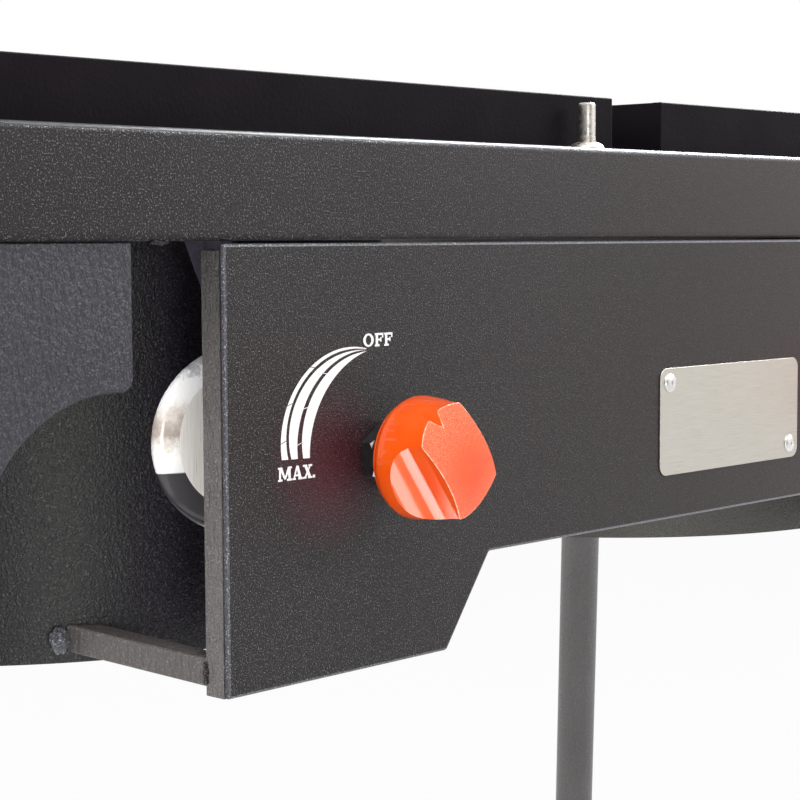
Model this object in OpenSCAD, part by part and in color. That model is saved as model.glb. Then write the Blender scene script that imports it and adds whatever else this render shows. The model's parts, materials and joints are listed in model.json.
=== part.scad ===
// Double propane burner stand: a welded tube frame on four splayed legs carries two round
// windscreens with cast burners, a control panel with two gas valves, and two lift-off grates.
// Origin on the floor under the middle of the frame; +X right, +Y to the back, +Z up.

/* [Frame] */
// Length of the top frame, end to end
frame_w = 910; // [890:5:940]
// Depth of the top frame, front to back
frame_d = 434; // [430:2:460]
// Side of the square rail tube
rail = 40; // [34:1:41]
// Wall of the rail tube
rail_wall = 2; // [1.5:0.5:3]
// Height of the rails' underside above the floor
rail_under = 648; // [560:2:760]

/* [Legs] */
// Outer radius of a leg tube
leg_r = 14.3; // [13:0.1:15]
// Splay of a leg from the vertical, outwards along the corner's diagonal
leg_splay = 10; // [6:0.5:11]
// Distance from the frame's end to the leg axis, at the rails' underside
leg_in_x = 53; // [50:1:60]
// Distance from the frame's front or back to the leg axis, at the rails' underside
leg_in_y = 64; // [60:1:70]

/* [Windscreens and burners] */
// Distance between the two burner axes
burner_pitch = 440; // [430:2:450]
// Outer radius of a windscreen
screen_r = 167.5; // [160:0.5:169]
// Sheet thickness of a windscreen
screen_wall = 1.5; // [1:0.5:3]
// Depth of a windscreen below the rails
screen_drop = 162; // [150:1:190]
// Radius of the air port in a windscreen
port_r = 37; // [37:0.5:40]
// Angle of the air port from straight ahead, outwards
port_turn = 5.9; // [4:0.1:8]
// Depth of the mixing tube's axis below the rails
port_drop = 79; // [76:0.5:82]

/* [Control panel] */
// Width of the panel
panel_w = 574; // [560:2:590]
// Sheet thickness of the panel
panel_t = 2.5; // [2:0.5:3]
// Depth of the panel's middle below the rails
panel_drop = 130.5; // [125:0.5:140]
// Depth of the panel's end tabs below the rails
tab_drop = 168.5; // [160:0.5:180]
// Width of an end tab at its bottom edge
tab_foot = 120.5; // [115:0.5:130]
// Width of an end tab where it meets the middle
tab_root = 147.5; // [140:0.5:160]

/* [Valves and knobs] */
// Distance from a panel end to the valve axis
valve_in = 82.5; // [80:0.5:86]
// Depth of the valve axis below the rails
valve_drop = 84; // [82:0.2:86]
// Radius of a knob at its widest
knob_r = 24.2; // [23.5:0.1:25]
// Radius of a knob at its front
knob_front_r = 22.2; // [21:0.1:22.4]
// Thickness of a knob at the top of its rounded grip
knob_len = 28.2; // [27:0.2:29]
// Gap between a knob's back and the panel
knob_gap = 16; // [14:0.5:18]
// Way a knob's pointer leans from straight up at rest, towards MAX
knob_lean = 36; // [0:1:54]

/* [Grates] */
// Width of one pot grate
grate_w = 402; // [380:2:402]
// Depth of one pot grate
grate_d = 378; // [370:2:378]
// Height of the grate bars
grate_h = 25; // [18:1:26]

/* [Hidden] */

$fn = 96;
eps = 0.01;
far = 400;

powder_black = "#3a393b";
screen_black = "#262528";
iron_grey = "#3b3b3d";
zinc = "#d4d4d0";
brass = "#b8963e";
polished = "#dcdcda";
orange_red = "#f8552a";
rubber_black = "#1c1c1d";

// Heights
rail_top = rail_under + rail;
front_y = -frame_d / 2;
burner_x = burner_pitch / 2;
screen_top = rail_top - 5;
screen_bottom = rail_under - screen_drop;
port_z = rail_under - port_drop;
valve_x = panel_w / 2 - valve_in;
valve_z = rail_under - valve_drop;
// Sideways run of a leg along X and along Y for each millimetre of height
splay_run = tan(leg_splay) / sqrt(2);

// Small fixed sizes
rail_round = 3;
plate_t = 4;
bracket_set = 3;
panel_back = front_y + panel_t;
panel_top_gap = 1;
neck_r = 7;
stem_r = 4;
stem_clear = 0.05;
stem_out = 36;
crown_r = 51;
bar_side = 9.7;
leg_wall = 2;
socket_r = 17.5;
socket_wall_gap = 0.1;
socket_top = rail_under - 3;
socket_bottom = rail_under - 143;
bolt_r = 4;
bolt_z = rail_under - 90;
bar_top = rail_under - 103;
plug_y = front_y + 25;
tube_r = 4;
tube_bend = 12;
tube_lead = 8;
// The tube leaves the valve along X and meets the port axis, which is turned by port_turn:
// distance of that meeting from the burner's axis, and X of the bend's centre
jet_end = (-plug_y - tube_bend - tube_bend * sin(port_turn)) / cos(port_turn);
bend_x = burner_x + jet_end * sin(port_turn) - tube_bend * cos(port_turn);
outlet = bend_x - tube_lead - valve_x;
manifold_r = 8.6;
manifold_z = valve_z - 24;

// Points of an arc about c with radius r from angle a0 to a1, in n steps
function arc(c, r, a0, a1, n = 8) =
    [for (i = [0:n]) c + r * [cos(a0 + (a1 - a0) * i / n), sin(a0 + (a1 - a0) * i / n)]];

// Rectangle with round corners, centred
module round_rect(size, r) {
    square([size.x - 2 * r, size.y], center = true);
    square([size.x, size.y - 2 * r], center = true);
    for (sx = [-1, 1], sy = [-1, 1])
        translate([sx * (size.x / 2 - r), sy * (size.y / 2 - r)]) circle(r = r);
}

// Cylinder from y0 to y1 along Y, on the axis through x, z
module along_y(x, z, r, y0, y1) {
    translate([x, y0, z]) rotate([-90, 0, 0]) cylinder(r = r, h = y1 - y0);
}

// Hexagonal bar from y0 to y1 along Y with corners up and down; across is over its flats
module hex_along_y(x, z, across, y0, y1) {
    translate([x, y0, z]) rotate([-90, 30, 0]) cylinder(r = across / sqrt(3), h = y1 - y0, $fn = 6);
}

// ---------------------------------------------------------------- frame

// Square tube of length len along X, its outer face on y = 0 and its underside on z = 0,
// with both ends mitred so that the back is shorter
module mitred_tube(len) {
    intersection() {
        translate([-len / 2, rail / 2, rail / 2]) rotate([90, 0, 90]) linear_extrude(len)
            difference() {
                round_rect([rail, rail], rail_round);
                square(rail - 2 * rail_wall, center = true);
            }
        linear_extrude(rail) polygon([[-len / 2, 0], [len / 2, 0],
            [len / 2 - rail, rail], [-len / 2 + rail, rail]]);
    }
}

// Places its children once at each of the four grate studs: right front and left back
// corner of each grate
module at_studs() {
    stud_y = frame_d / 2 - 19;
    for (sx = [-1, 1], sy = [-1, 1])
        translate([sx * burner_x - sy * (grate_w / 2 - 31), sy * stud_y, rail_top]) children();
}

module front_rail() {
    color(powder_black) difference() {
        translate([0, front_y, rail_under]) mitred_tube(frame_w);
        at_studs() translate([0, 0, -rail_wall - 1]) cylinder(r = bolt_r, h = rail_wall + 2);
    }
}

module rear_rail() {
    color(powder_black) difference() {
        rotate(180) translate([0, front_y, rail_under]) mitred_tube(frame_w);
        at_studs() translate([0, 0, -rail_wall - 1]) cylinder(r = bolt_r, h = rail_wall + 2);
    }
}

module end_rail(side) {
    color(powder_black)
        rotate(side < 0 ? -90 : 90) translate([0, -frame_w / 2, rail_under]) mitred_tube(frame_d);
}

module centre_rail() {
    inner = frame_d - 2 * rail;
    color(powder_black) translate([0, inner / 2, rail_under + rail / 2])
        rotate([90, 0, 0]) linear_extrude(inner) difference() {
            round_rect([rail, rail], rail_round);
            square(rail - 2 * rail_wall, center = true);
        }
}

// One wing of a corner bracket, seen flat: an arm under the rail, a big round fillet and an
// arm down the leg. x runs from the corner along the rail, y is height from the rail.
module bracket_wing() {
    arm = 125.5;
    arm_drop = 52.5;
    leg_arm = 57.6;
    leg_drop = 150;
    fillet = 59.4;
    nose = 5;
    polygon(concat(
        [[0, 0], [arm, 0]],
        arc([arm - nose, -arm_drop + nose], nose, 0, -90, 6),
        arc([leg_arm + fillet, -arm_drop - fillet], fillet, 90, 180, 24),
        arc([leg_arm - nose, -leg_drop + nose], nose, 0, -90, 6),
        [[0, -leg_drop]]
    ));
}

// Folded corner bracket, modelled at the front left corner and mirrored to the others
module corner_bracket(sx, sy) {
    corner = [frame_w / 2 - bracket_set, frame_d / 2 - bracket_set];
    color(powder_black) scale([-sx, -sy, 1]) translate([-corner.x, -corner.y, rail_under]) {
        translate([0, plate_t, 0]) rotate([90, 0, 0]) linear_extrude(plate_t) bracket_wing();
        rotate([90, 0, 90]) linear_extrude(plate_t) bracket_wing();
    }
}

// Puts its children on the axis of the leg at corner sx, sy: local z runs along the leg,
// and local z = 0 is level with the rails' underside
module on_leg(sx, sy) {
    top = [sx * (frame_w / 2 - leg_in_x), sy * (frame_d / 2 - leg_in_y), rail_under];
    translate(top) rotate([0, 0, atan2(sy, sx)]) rotate([0, -leg_splay, 0]) children();
}

// Keeps what lies between two heights
module between(z0, z1) {
    intersection() {
        children();
        translate([0, 0, z0]) linear_extrude(z1 - z0) square([frame_w + 200, frame_d + 200], center = true);
    }
}

// Flat web that ties a socket to both wings, from their inner faces inwards
module socket_web(sx, sy, z, reach) {
    inset = bracket_set + plate_t;
    scale([sx, sy, 1]) translate([frame_w / 2 - reach.x, frame_d / 2 - reach.y, z])
        cube([reach.x - inset, reach.y - inset, 3]);
}

module leg_socket(sx, sy) {
    run = (rail_under - socket_bottom) * splay_run;
    color(powder_black) difference() {
        union() {
            between(socket_bottom, socket_top) on_leg(sx, sy)
                translate([0, 0, -far / 2]) cylinder(r = socket_r, h = far);
            socket_web(sx, sy, socket_top, [leg_in_x + 22, leg_in_y + 22]);
            socket_web(sx, sy, socket_bottom + 3, [leg_in_x + 22 - run, leg_in_y + 22 - run]);
        }
        between(socket_bottom - 5, socket_top) on_leg(sx, sy)
            translate([0, 0, -far / 2]) cylinder(r = leg_r + socket_wall_gap, h = far);
        leg_bolt_bore(sx, sy);
    }
}

// Cross bolt's place: local x runs along the bolt, through the leg's axis
module at_leg_bolt(sx, sy) {
    drop = (rail_under - bolt_z) / cos(leg_splay);
    on_leg(sx, sy) translate([0, 0, -drop]) rotate([0, 0, 90]) children();
}

module leg_bolt_bore(sx, sy) {
    at_leg_bolt(sx, sy) rotate([0, 90, 0])
        cylinder(r = bolt_r + 0.1, h = 4 * socket_r, center = true);
}

module leg(sx, sy) {
    color(powder_black) difference() {
        between(6, socket_top - 1) on_leg(sx, sy) translate([0, 0, -2 * far]) difference() {
            cylinder(r = leg_r, h = 3 * far);
            translate([0, 0, -1]) cylinder(r = leg_r - leg_wall, h = 3 * far + 2);
        }
        leg_bolt_bore(sx, sy);
    }
}

module foot(sx, sy) {
    axis_len = rail_under / cos(leg_splay);
    color(rubber_black) difference() {
        between(0, 60) on_leg(sx, sy) translate([0, 0, -axis_len]) rotate_extrude()
            polygon([[0, -10], [24.2, -10], [24.2, 4], [22.5, 7], [18.3, 12], [17.6, 34],
                [16.4, 36], [0, 36]]);
        between(6, 90) on_leg(sx, sy) translate([0, 0, -axis_len - 20]) cylinder(r = leg_r, h = 90);
    }
}

module hex_head(across, h) {
    cylinder(r = across / sqrt(3), h = h, $fn = 6);
}

module leg_bolts() {
    color(zinc) for (sx = [-1, 1], sy = [-1, 1]) at_leg_bolt(sx, sy) rotate([0, 90, 0]) {
        translate([0, 0, -socket_r]) cylinder(r = bolt_r, h = 2 * socket_r + 9);
        translate([0, 0, -socket_r - 5.3]) hex_head(13, 5.3);
    }
}

module leg_nuts() {
    color(zinc) for (sx = [-1, 1], sy = [-1, 1]) at_leg_bolt(sx, sy) rotate([0, 90, 0])
        translate([0, 0, socket_r]) difference() {
            hex_head(13, 6.5);
            translate([0, 0, -1]) cylinder(r = bolt_r, h = 9);
        }
}

// ---------------------------------------------------------------- windscreens and burners

// Puts its children on the mixing tube's axis: local z runs out from the burner's centre
module on_port(side) {
    translate([side * burner_x, 0, port_z]) rotate([0, 0, side * port_turn]) rotate([90, 0, 0])
        children();
}

module windscreen(side) {
    color(screen_black) difference() {
        translate([side * burner_x, 0, screen_bottom]) difference() {
            cylinder(r = screen_r, h = screen_top - screen_bottom, $fn = 180);
            translate([0, 0, -1])
                cylinder(r = screen_r - screen_wall, h = screen_top - screen_bottom + 2, $fn = 180);
        }
        on_port(side) translate([0, 0, screen_r / 2]) cylinder(r = port_r, h = screen_r);
    }
}

// Flat bars that carry the windscreens: from the rails to the sheet
module screen_hangers() {
    h = 25;
    z = rail_top - 6 - h;
    inner_y = frame_d / 2 - rail;
    inner_x = frame_w / 2 - rail;
    reach = 60;
    color(powder_black) difference() {
        for (side = [-1, 1]) {
            for (dx = [-1, 1], sy = [-1, 1]) scale([1, sy, 1])
                translate([side * burner_x + dx * reach - plate_t / 2, inner_y - 40, z])
                    cube([plate_t, 40, h]);
            scale([side, 1, 1]) {
                translate([inner_x - 45, -plate_t / 2, z]) cube([45, plate_t, h]);
                translate([rail / 2, -plate_t / 2, z]) cube([45, plate_t, h]);
            }
        }
        for (side = [-1, 1]) translate([side * burner_x, 0, z - 1])
            cylinder(r = screen_r, h = h + 2, $fn = 180);
    }
}

burner_bar_y = 25;

module burner_bars(side) {
    color(powder_black) translate([side * burner_x, 0, bar_top - plate_t]) difference() {
        intersection() {
            for (sy = [-1, 1]) translate([-far / 2, sy * burner_bar_y - 15, 0]) cube([far, 30, plate_t]);
            cylinder(r = screen_r - screen_wall, h = plate_t, $fn = 180);
        }
        for (sy = [-1, 1]) translate([0, sy * burner_bar_y, -1]) cylinder(r = bolt_r + 0.2, h = plate_t + 2);
    }
}

casting_h = 51;
casting_r = 95;
casting_wall = 6;
mouth_at = 158;

// Two kidney windows, one above and one below the axis
module air_windows(h) {
    for (a = [90, 270]) rotate(a) rotate([0, 0, -26]) rotate_extrude(angle = 52)
        translate([8, 0]) square([6.5, h]);
}

module burner_casting(side) {
    color(iron_grey) difference() {
        union() {
            translate([side * burner_x, 0, bar_top]) rotate_extrude()
                polygon([[0, 0], [42, 0], [casting_r, 27], [casting_r, casting_h], [0, casting_h]]);
            on_port(side) translate([0, 0, 40]) cylinder(r = 22, h = mouth_at - 40);
            on_port(side) translate([0, 0, mouth_at - 6]) cylinder(r = 34, h = 6);
        }
        translate([side * burner_x, 0, bar_top]) difference() {
            rotate_extrude() polygon([[0, 5], [39, 5], [casting_r - casting_wall, 30.5],
                [casting_r - casting_wall, casting_h + 1], [0, casting_h + 1]]);
            for (sy = [-1, 1]) translate([0, sy * burner_bar_y, 0]) cylinder(r = 9, h = 15);
        }
        on_port(side) translate([0, 0, 50]) cylinder(r = 16.5, h = mouth_at - 55);
        on_port(side) translate([0, 0, mouth_at - 7]) air_windows(8);
        on_port(side) translate([0, 0, mouth_at - 7]) cylinder(r = bolt_r + 0.2, h = 8);
        for (sy = [-1, 1]) translate([side * burner_x, sy * burner_bar_y, bar_top - 1])
            cylinder(r = bolt_r, h = 13);
    }
}

// Cast lid with three rings of flame ports and a lip that sits inside the bowl
module burner_cap(side) {
    rings = [[26, 8], [52, 16], [78, 24]];
    color(iron_grey) translate([side * burner_x, 0, bar_top + casting_h]) difference() {
        rotate_extrude() polygon([[0, 0], [84, 0], [84, -6], [88, -6], [88, 0], [casting_r, 0],
            [casting_r, 4], [70, 9], [0, 11]]);
        for (ring = rings, i = [0:ring[1] - 1]) rotate(360 * i / ring[1])
            translate([ring[0], 0, -2]) cylinder(r = 2, h = 16, $fn = 24);
    }
}

module burner_bolts() {
    color(zinc) for (side = [-1, 1], sy = [-1, 1])
        translate([side * burner_x, sy * burner_bar_y, bar_top - plate_t]) {
            cylinder(r = bolt_r, h = 14);
            translate([0, 0, -5.3]) hex_head(13, 5.3);
        }
}

// Polished pressed cup over the mixing tube's mouth, turning on the jet's spud: its two
// windows pass over those of the mouth. Local z runs out along the tube's axis.
shutter_face = 168;

module air_shutter(side) {
    rim_at = mouth_at - 2;
    skirt_at = shutter_face - 5;
    hub_at = mouth_at + 0.3;
    rim_out = 36.5;
    face_out = 24.7;
    skin = 1.5;
    hub_r = 7;
    bore = stem_r + stem_clear;
    span = rim_out - face_out;
    rise = shutter_face - skirt_at;
    color(polished) on_port(side) difference() {
        rotate_extrude() polygon(concat(
            [[bore, shutter_face], [face_out, shutter_face]],
            [for (a = [80:-10:0]) [face_out + span * cos(a), skirt_at + rise * sin(a)]],
            [[rim_out, rim_at], [rim_out - skin, rim_at]],
            [for (a = [0:10:90]) [face_out + (span - skin) * cos(a), skirt_at + (rise - skin) * sin(a)]],
            [[hub_r, shutter_face - skin], [hub_r, hub_at], [bore, hub_at]]
        ));
        translate([0, 0, shutter_face - 3]) air_windows(4);
    }
}

// Brass gas jet: a hexagon in front of the shutter and a spud through it into the mouth
module orifice(side) {
    hex_at = shutter_face + 0.3;
    color(brass) on_port(side) difference() {
        union() {
            translate([0, 0, mouth_at - 5]) cylinder(r = stem_r, h = hex_at - mouth_at + 6);
            translate([0, 0, hex_at]) hex_head(14, jet_end - hex_at);
        }
        translate([0, 0, mouth_at - 6]) cylinder(r = 0.8, h = 12);
        translate([0, 0, mouth_at + 4]) cylinder(r = 2.5, h = 20);
    }
}

// Bent tube from the valve's side to the jet, with a straight lead at the valve
module gas_tube(side) {
    color(brass) mirror([side < 0 ? 1 : 0, 0, 0])
        translate([bend_x, plug_y + tube_bend, port_z]) {
            translate([-tube_lead, -tube_bend, 0]) rotate([0, 90, 0]) cylinder(r = tube_r, h = tube_lead);
            rotate(-90) rotate_extrude(angle = 90 + port_turn)
                translate([tube_bend, 0]) circle(r = tube_r);
        }
}

// ---------------------------------------------------------------- panel, valves, knobs

// Outline of the panel: x from its middle, y is height from the rails' underside
module panel_outline() {
    half = panel_w / 2;
    polygon([[-half, -panel_top_gap], [half, -panel_top_gap], [half, -tab_drop],
        [half - tab_foot, -tab_drop], [half - tab_root, -panel_drop],
        [-half + tab_root, -panel_drop], [-half + tab_foot, -tab_drop], [-half, -tab_drop]]);
}

plate_size = [117, 50];
plate_at = [38.6, rail_under - 84.9];
rivet_r = 1.6;
rivet_spots = [[-plate_size.x / 2 + 7.5, plate_size.y / 2 - 7],
    [plate_size.x / 2 - 7.3, -plate_size.y / 2 + 7]];

module rivet_bores() {
    for (p = rivet_spots)
        along_y(plate_at.x + p.x, plate_at.y + p.y, rivet_r, front_y - 5, front_y + 10);
}

module control_panel() {
    color(powder_black) difference() {
        translate([0, panel_back, rail_under]) rotate([90, 0, 0]) linear_extrude(panel_t) panel_outline();
        for (side = [-1, 1]) along_y(side * valve_x, valve_z, neck_r + 0.2, front_y - 1, front_y + 10);
        rivet_bores();
    }
}

module nameplate() {
    color(polished) difference() {
        translate([plate_at.x, front_y, plate_at.y]) rotate([90, 0, 0]) linear_extrude(0.8)
            round_rect(plate_size, 5);
        rivet_bores();
    }
}

module nameplate_rivets() {
    grip = 0.8 + panel_t;
    color(zinc) for (p = rivet_spots)
        translate([plate_at.x + p.x, front_y - 0.8, plate_at.y + p.y]) rotate([90, 0, 0]) rotate_extrude()
            polygon([[0, -grip - 1.5], [2.4, -grip - 1.5], [2.6, -grip], [rivet_r, -grip], [rivet_r, 0],
                [4.4, 0], [4.4, 0.35], [3.8, 0.95], [2.3, 1.4], [0, 1.6]]);
}

// Upright square bar behind each end of the panel, welded up to the rail with a small gusset
module panel_bar(side) {
    neck = 3.5;
    inset = 1.5;
    color(powder_black) scale([side, 1, 1]) translate([panel_w / 2, panel_back, rail_under]) {
        translate([-bar_side, 0, -tab_drop]) cube([bar_side, bar_side, tab_drop - neck]);
        translate([-bar_side + inset, inset, -neck - eps])
            cube([bar_side - 2 * inset, bar_side - 2 * inset, neck + eps]);
        translate([-5, 0, 0]) rotate([90, 0, 90]) linear_extrude(1.2)
            polygon([[bar_side - eps, 0], [bar_side + 13.7, 0], [bar_side - eps, -25.6]]);
    }
}

// Slanted bars that tie the uprights to the windscreens
module panel_braces() {
    toe_in = 16.6;
    climb = 7.2;
    depth = 10.8;
    color(powder_black) for (side = [-1, 1]) scale([side, 1, 1]) difference() {
        translate([panel_w / 2, panel_back + bar_side, rail_under - 154.5 - depth])
            rotate([climb, 0, 0]) rotate([0, 0, -toe_in]) translate([-10, -20, 0]) cube([10, 110, depth]);
        translate([panel_w / 2 - far / 2, panel_back + bar_side - far, 0]) cube([far, far, rail_under]);
        translate([burner_x, 0, screen_bottom - 1]) cylinder(r = screen_r, h = 200, $fn = 180);
    }
}

module valve_body(side) {
    x = side * valve_x;
    bore_end = front_y + 12;
    color(brass) difference() {
        union() {
            along_y(x, valve_z, neck_r, front_y - 10, panel_back + 1);
            along_y(x, valve_z, 11, panel_back, panel_back + 4.5);
            along_y(x, valve_z, 10, panel_back + 4, front_y + 39);
            translate([x, plug_y, port_z]) rotate([0, side * 90, 0]) cylinder(r = 6, h = outlet);
            translate([x, plug_y, manifold_z]) cylinder(r = 7, h = 20);
        }
        along_y(x, valve_z, stem_r + stem_clear, front_y - 11, bore_end + 1);
        along_y(x, valve_z, 6 + stem_clear, bore_end, front_y + 31);
        translate([x, plug_y, port_z]) rotate([0, side * 90, 0]) cylinder(r = 2, h = outlet + 1);
        translate([x, plug_y, manifold_z]) cylinder(r = 2.5, h = 20);
        translate([x - 30, plug_y, manifold_z]) rotate([0, 90, 0]) cylinder(r = manifold_r, h = 60);
    }
}

module valve_stem(side) {
    x = side * valve_x;
    color(brass) difference() {
        union() {
            along_y(x, valve_z, stem_r, front_y - stem_out, front_y + 13);
            along_y(x, valve_z, 6, front_y + 12.1, front_y + 30.8);
        }
        translate([x - 10, plug_y, valve_z]) rotate([0, 90, 0]) cylinder(r = 2, h = 20);
        stem_flat(x);
    }
}

// The flat on a stem's front end, turned with the knob's pointer
module stem_flat(x) {
    translate([x, front_y - stem_out - 1, valve_z]) rotate([0, -knob_lean, 0])
        translate([-5, 0, 3]) cube([10, stem_out + 1 - knob_gap, 5]);
}

module lock_nuts() {
    thick = 5.5;
    nut_turn = 6;
    color("#2f2e30") for (side = [-1, 1]) difference() {
        intersection() {
            translate([side * valve_x, 0, valve_z]) rotate([0, -nut_turn, 0])
                hex_along_y(0, 0, 22.4, front_y - thick, front_y);
            translate([side * valve_x, front_y, valve_z]) rotate([90, 0, 0])
                cylinder(r1 = 12.4 + thick, r2 = 12, h = thick);
        }
        along_y(side * valve_x, valve_z, neck_r + 0.05, front_y - 20, front_y + 1);
    }
}

// Puts its children on a knob: local z comes out of the panel from the knob's back, and
// local y points along the pointer
module on_knob(side) {
    translate([side * valve_x, front_y - knob_gap, valve_z]) rotate([0, -knob_lean, 0])
        rotate([90, 0, 0]) children();
}

// One finger scoop beside the grip, on the +x side: an upright wall, a steep strip down to a
// fine step, and a hollow floor that runs out at the rim
module finger_scoop() {
    wall_at = 13;
    long = 2 * knob_r + 10;
    rotate([90, 0, 0]) linear_extrude(long, center = true)
        polygon([[wall_at, knob_len - 4], [13.9, knob_len - 10.2], [14.35, knob_len - 10.35],
            [18, knob_len - 5], [18, knob_len + 5], [wall_at - 0.1, knob_len + 5]]);
    translate([25.6, 0, knob_len - 6.9]) rotate([90, 0, 0])
        cylinder(r = 11.76, h = long, center = true, $fn = 120);
}

// V groove that starts in the knob's face and deepens to the rim, as the pointer
module pointer_notch() {
    start = 16.2;
    fall = 53;
    flank = 0.92;
    depth = 20;
    translate([0, start, knob_len - start * start / 2 / crown_r]) rotate([-fall, 0, 0]) rotate([-90, 0, 0]) translate([0, 0, -10])
        linear_extrude(40) polygon([[0, 0], [-depth * flank, -depth], [depth * flank, -depth]]);
}

module knob(side) {
    hollow_r = 19;
    hollow = 7.4;
    color(orange_red) on_knob(side) difference() {
        intersection() {
            rotate_extrude() polygon([[0, 0], [knob_r - 2.4, 0], [knob_r - 2.2, 0.2], [knob_r - 2.2, 1.5],
                [knob_r - 1.8, 1.5], [knob_r - 0.9, 2.3], [knob_r - 0.3, 3.3], [knob_r, 4.6],
                [knob_front_r, knob_len - 4.5], [knob_front_r - 0.3, knob_len], [0, knob_len]]);
            translate([0, 0, knob_len - crown_r]) rotate([0, 90, 0])
                cylinder(r = crown_r, h = far, center = true, $fn = 240);
        }
        finger_scoop();
        mirror([1, 0, 0]) finger_scoop();
        pointer_notch();
        difference() {
            translate([0, 0, -1]) cylinder(r = hollow_r, h = hollow + 1);
            translate([0, 0, -1]) cylinder(r = 8, h = hollow + 1);
        }
        difference() {
            translate([0, 0, -1]) cylinder(r = stem_r, h = stem_out - knob_gap + 1);
            translate([-5, 3, -1]) cube([10, 5, stem_out - knob_gap + 2]);
        }
    }
}

// ---------------------------------------------------------------- gas supply

manifold_end = panel_w / 2 + 25;

module gas_manifold() {
    start = -valve_x - 14;
    color(iron_grey) difference() {
        translate([start, plug_y, manifold_z]) rotate([0, 90, 0])
            cylinder(r = manifold_r, h = manifold_end - start);
        translate([start + 4, plug_y, manifold_z]) rotate([0, 90, 0]) cylinder(r = 6, h = manifold_end);
        for (side = [-1, 1]) translate([side * valve_x, plug_y, manifold_z]) cylinder(r = 2.5, h = 20);
    }
}

// Elbow with a male flare that points down, for the hose of the gas regulator
module inlet_fitting() {
    flare_r = 7.94;
    block = 18;
    turn = 14;
    tip = 28;
    bore = 2.8;
    color(brass) translate([manifold_end, plug_y, manifold_z]) difference() {
        union() {
            rotate([0, 90, 0]) cylinder(r = 8, h = turn - block / 2 + 1);
            translate([turn - block / 2, -block / 2, -block / 2]) cube(block);
            translate([turn, 0, -tip + 4]) cylinder(r = flare_r, h = tip - block / 2 - 3);
            translate([turn, 0, -tip]) cylinder(r1 = 4, r2 = flare_r - 1, h = 4);
        }
        translate([-1, 0, 0]) rotate([0, 90, 0]) cylinder(r = bore, h = turn + 1);
        translate([turn, 0, -tip - 1]) cylinder(r = bore, h = tip + 1);
    }
}

// ---------------------------------------------------------------- grates

module pot_grate(side) {
    bar = 6;
    bars = 7;
    step = (grate_w - bar) / (bars + 1);
    color(iron_grey) translate([side * burner_x - grate_w / 2, -grate_d / 2, rail_top]) {
        for (i = [0:bars + 1]) translate([i * step, 0, 0]) cube([bar, grate_d, grate_h]);
        for (y = [0, grate_d - bar]) translate([0, y, 0]) cube([grate_w, bar, grate_h]);
        translate([0, (grate_d - bar) / 2, 0]) cube([grate_w, bar, grate_h - 6]);
    }
}

module grate_studs() {
    below = rail_wall + 4;
    color(zinc) at_studs() translate([0, 0, -below]) cylinder(r = bolt_r, h = below + grate_h - 4);
}

module stud_nuts() {
    color(zinc) at_studs() rotate_extrude()
        polygon([[bolt_r, 0], [8.1, 0], [8.1, 0.6], [7.6, 1.6], [6.6, 2.5], [5.4, 3.1], [bolt_r, 3.4]]);
}

// ---------------------------------------------------------------- drawing

front_rail();
rear_rail();
end_rail(-1);  // left_rail
end_rail(1);  // right_rail
centre_rail();
corner_bracket(-1, -1);  // corner_bracket_front_left
corner_bracket(1, -1);  // corner_bracket_front_right
corner_bracket(-1, 1);  // corner_bracket_rear_left
corner_bracket(1, 1);  // corner_bracket_rear_right
leg_socket(-1, -1);  // leg_socket_front_left
leg_socket(1, -1);  // leg_socket_front_right
leg_socket(-1, 1);  // leg_socket_rear_left
leg_socket(1, 1);  // leg_socket_rear_right
leg(-1, -1);  // leg_front_left
leg(1, -1);  // leg_front_right
leg(-1, 1);  // leg_rear_left
leg(1, 1);  // leg_rear_right
foot(-1, -1);  // foot_front_left
foot(1, -1);  // foot_front_right
foot(-1, 1);  // foot_rear_left
foot(1, 1);  // foot_rear_right
leg_bolts();
leg_nuts();
windscreen(-1);  // windscreen_left
windscreen(1);  // windscreen_right
screen_hangers();
burner_bars(-1);  // burner_bars_left
burner_bars(1);  // burner_bars_right
burner_casting(-1);  // burner_casting_left
burner_casting(1);  // burner_casting_right
burner_cap(-1);  // burner_cap_left
burner_cap(1);  // burner_cap_right
burner_bolts();
air_shutter(-1);  // air_shutter_left
air_shutter(1);  // air_shutter_right
orifice(-1);  // orifice_left
orifice(1);  // orifice_right
gas_tube(-1);  // gas_tube_left
gas_tube(1);  // gas_tube_right
valve_body(-1);  // valve_body_left
valve_body(1);  // valve_body_right
valve_stem(-1);  // valve_stem_left
valve_stem(1);  // valve_stem_right
lock_nuts();
knob(-1);  // knob_left
knob(1);  // knob_right
control_panel();
panel_bar(-1);  // panel_bar_left
panel_bar(1);  // panel_bar_right
panel_braces();
gas_manifold();
inlet_fitting();
nameplate();
nameplate_rivets();
pot_grate(-1);  // pot_grate_left
pot_grate(1);  // pot_grate_right
grate_studs();
stud_nuts();
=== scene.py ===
import json
from math import cos, pi, radians, sin

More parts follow.
